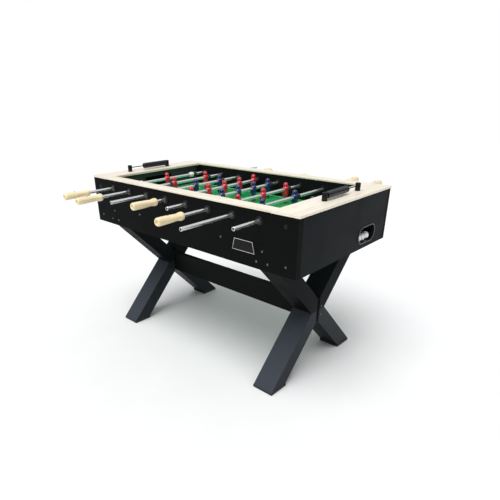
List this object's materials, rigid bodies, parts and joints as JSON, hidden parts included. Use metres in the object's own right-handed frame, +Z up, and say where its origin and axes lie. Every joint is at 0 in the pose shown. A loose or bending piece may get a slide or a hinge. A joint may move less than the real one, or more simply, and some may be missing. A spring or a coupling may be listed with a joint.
{
  "type": "foosball table",
  "caption": "Family foosball table on crossed board legs, with sliding and spinning player rods, bead scorers and a ball cup in each end.",
  "frame": {"origin": "on the floor under the middle of the table", "axes": "+X runs along the table towards the blue goalie, -Y is the side with the red team's handles, +Z is up"},
  "size_m": [1.397, 1.348, 0.913],
  "materials": {
    "black_panel": "laminated board, satin black",
    "black_board": "laminated board, satin black",
    "leg_board": "laminated board, satin charcoal",
    "maple_rail": "pale maple veneer, satin lacquer",
    "maple_grip": "turned maple, gloss lacquer",
    "green_field": "printed laminate, gloss",
    "rod_chrome": "polished chrome",
    "bolt_steel": "blackened steel",
    "black_plastic": "moulded, semi-gloss",
    "liner_plastic": "moulded, low friction",
    "bead_plastic": "moulded, gloss",
    "white_plastic": "moulded, semi-gloss",
    "red_plastic": "moulded, semi-gloss",
    "blue_plastic": "moulded, semi-gloss",
    "bumper_rubber": "soft rubber",
    "foot_rubber": "hard rubber"
  },
  "bodies": {
    "table": {"front_panel": "black_panel", "back_panel": "black_panel", "left_end_panel": "black_panel", "right_end_panel": "black_panel", "inner_frame": "black_board", "playfield": "green_field", "goal_walls": "black_board", "side_rails": "maple_rail", "end_rails": "maple_rail", "rod_bearings": "black_plastic", "ball_returns": "black_plastic", "balls": "white_plastic", "upper_leg_arms": "leg_board", "lower_leg_arms": "leg_board", "stretcher": "black_board", "foot_pads": "foot_rubber", "bolts": "bolt_steel", "scorer_frames": "black_plastic"},
    "left_beads": {"left_score_beads": "bead_plastic"},
    "right_beads": {"right_score_beads": "bead_plastic"},
    "red_goalie_bearing": {"red_goalie_liners": "liner_plastic"},
    "red_goalie_line": {"red_goalie_rod": "rod_chrome", "red_goalie_men": "red_plastic", "red_goalie_grip": "maple_grip", "red_goalie_bumpers": "bumper_rubber"},
    "red_defence_bearing": {"red_defence_liners": "liner_plastic"},
    "red_defence_line": {"red_defence_rod": "rod_chrome", "red_defence_men": "red_plastic", "red_defence_grip": "maple_grip", "red_defence_bumpers": "bumper_rubber"},
    "blue_attack_bearing": {"blue_attack_liners": "liner_plastic"},
    "blue_attack_line": {"blue_attack_rod": "rod_chrome", "blue_attack_men": "blue_plastic", "blue_attack_grip": "maple_grip", "blue_attack_bumpers": "bumper_rubber"},
    "red_midfield_bearing": {"red_midfield_liners": "liner_plastic"},
    "red_midfield_line": {"red_midfield_rod": "rod_chrome", "red_midfield_men": "red_plastic", "red_midfield_grip": "maple_grip", "red_midfield_bumpers": "bumper_rubber"},
    "blue_midfield_bearing": {"blue_midfield_liners": "liner_plastic"},
    "blue_midfield_line": {"blue_midfield_rod": "rod_chrome", "blue_midfield_men": "blue_plastic", "blue_midfield_grip": "maple_grip", "blue_midfield_bumpers": "bumper_rubber"},
    "red_attack_bearing": {"red_attack_liners": "liner_plastic"},
    "red_attack_line": {"red_attack_rod": "rod_chrome", "red_attack_men": "red_plastic", "red_attack_grip": "maple_grip", "red_attack_bumpers": "bumper_rubber"},
    "blue_defence_bearing": {"blue_defence_liners": "liner_plastic"},
    "blue_defence_line": {"blue_defence_rod": "rod_chrome", "blue_defence_men": "blue_plastic", "blue_defence_grip": "maple_grip", "blue_defence_bumpers": "bumper_rubber"},
    "blue_goalie_bearing": {"blue_goalie_liners": "liner_plastic"},
    "blue_goalie_line": {"blue_goalie_rod": "rod_chrome", "blue_goalie_men": "blue_plastic", "blue_goalie_grip": "maple_grip", "blue_goalie_bumpers": "bumper_rubber"}
  },
  "joints": [
    {"name": "red_goalie_spin", "type": "hinge", "parent": "table", "child": "red_goalie_bearing", "pos_m": [-0.5075, 0, 0.826], "axis": [0, 1, 0], "continuous": true},
    {"name": "red_goalie_slide", "type": "slide", "parent": "red_goalie_bearing", "child": "red_goalie_line", "axis": [0, 1, 0], "range_m": [-0.0795, 0.0795]},
    {"name": "red_defence_spin", "type": "hinge", "parent": "table", "child": "red_defence_bearing", "pos_m": [-0.3625, 0, 0.826], "axis": [0, 1, 0], "continuous": true},
    {"name": "red_defence_slide", "type": "slide", "parent": "red_defence_bearing", "child": "red_defence_line", "axis": [0, 1, 0], "range_m": [-0.21, 0.102]},
    {"name": "blue_attack_spin", "type": "hinge", "parent": "table", "child": "blue_attack_bearing", "pos_m": [-0.2175, 0, 0.826], "axis": [0, 1, 0], "continuous": true},
    {"name": "blue_attack_slide", "type": "slide", "parent": "blue_attack_bearing", "child": "blue_attack_line", "axis": [0, 1, 0], "range_m": [-0.0555, 0.1315]},
    {"name": "red_midfield_spin", "type": "hinge", "parent": "table", "child": "red_midfield_bearing", "pos_m": [-0.0725, 0, 0.826], "axis": [0, 1, 0], "continuous": true},
    {"name": "red_midfield_slide", "type": "slide", "parent": "red_midfield_bearing", "child": "red_midfield_line", "axis": [0, 1, 0], "range_m": [-0.0765, 0.0005]},
    {"name": "blue_midfield_spin", "type": "hinge", "parent": "table", "child": "blue_midfield_bearing", "pos_m": [0.0725, 0, 0.826], "axis": [0, 1, 0], "continuous": true},
    {"name": "blue_midfield_slide", "type": "slide", "parent": "blue_midfield_bearing", "child": "blue_midfield_line", "axis": [0, 1, 0], "range_m": [-0.0255, 0.0515]},
    {"name": "red_attack_spin", "type": "hinge", "parent": "table", "child": "red_attack_bearing", "pos_m": [0.2175, 0, 0.826], "axis": [0, 1, 0], "continuous": true},
    {"name": "red_attack_slide", "type": "slide", "parent": "red_attack_bearing", "child": "red_attack_line", "axis": [0, 1, 0], "range_m": [-0.1015, 0.0855]},
    {"name": "blue_defence_spin", "type": "hinge", "parent": "table", "child": "blue_defence_bearing", "pos_m": [0.3625, 0, 0.826], "axis": [0, 1, 0], "continuous": true},
    {"name": "blue_defence_slide", "type": "slide", "parent": "blue_defence_bearing", "child": "blue_defence_line", "axis": [0, 1, 0], "range_m": [-0.102, 0.21]},
    {"name": "blue_goalie_spin", "type": "hinge", "parent": "table", "child": "blue_goalie_bearing", "pos_m": [0.5075, 0, 0.826], "axis": [0, 1, 0], "continuous": true},
    {"name": "blue_goalie_slide", "type": "slide", "parent": "blue_goalie_bearing", "child": "blue_goalie_line", "axis": [0, 1, 0], "range_m": [-0.0795, 0.0795]},
    {"name": "left_beads_slide", "type": "slide", "parent": "table", "child": "left_beads", "axis": [0, 1, 0], "range_m": [-0.085, 0]},
    {"name": "right_beads_slide", "type": "slide", "parent": "table", "child": "right_beads", "axis": [0, 1, 0], "range_m": [0, 0.085]}
  ]
}
